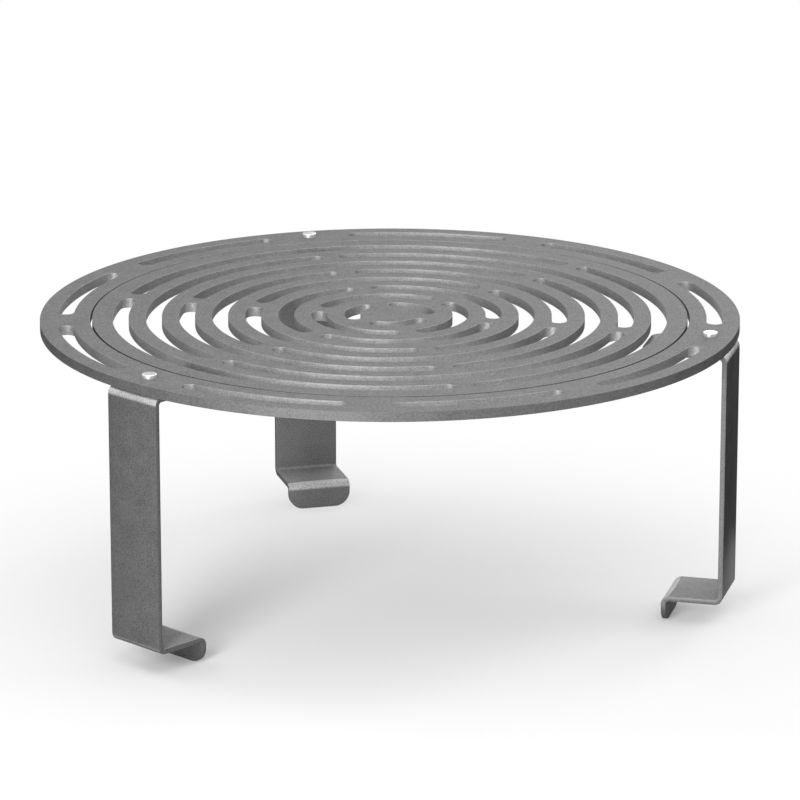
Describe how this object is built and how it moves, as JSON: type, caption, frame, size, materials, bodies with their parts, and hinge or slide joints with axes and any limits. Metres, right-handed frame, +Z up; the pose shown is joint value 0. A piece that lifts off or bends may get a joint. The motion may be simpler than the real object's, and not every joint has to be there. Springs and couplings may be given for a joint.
{
  "type": "three-legged cooking stand with lift-out slotted grate",
  "caption": "Low round cooking stand: a flat slotted ring on bent strip legs carries a loose round grate with rows of curved slots, above a burner or fire.",
  "frame": {"origin": "on the ground, below the middle of the round plates", "axes": "+Z up along the axis of the ring and grate; +Y towards the back leg; +X to the right, so the other two legs stand at 210 and 330 degrees from +X"},
  "size_m": [0.4299, 0.43, 0.1808],
  "materials": {
    "plate_steel": "bare mill steel plate with a fine grain",
    "strip_steel": "bare steel strip with a fine grain, brighter along its bends",
    "fastener_steel": "bright polished stainless steel"
  },
  "bodies": {
    "stand": {"outer_ring": "plate_steel", "leg_back": "strip_steel", "leg_front_left": "strip_steel", "leg_right": "strip_steel", "bolt_back": "fastener_steel", "bolt_front_left": "fastener_steel", "bolt_right": "fastener_steel", "washer_back": "fastener_steel", "washer_front_left": "fastener_steel", "washer_right": "fastener_steel", "nut_back": "fastener_steel", "nut_front_left": "fastener_steel", "nut_right": "fastener_steel"},
    "grate": {"centre_grate": "plate_steel"}
  },
  "joints": [
    {"name": "grate_lift", "type": "slide", "parent": "stand", "child": "grate", "axis": [0, 0, 1], "range_m": [0, 0.0636]}
  ]
}
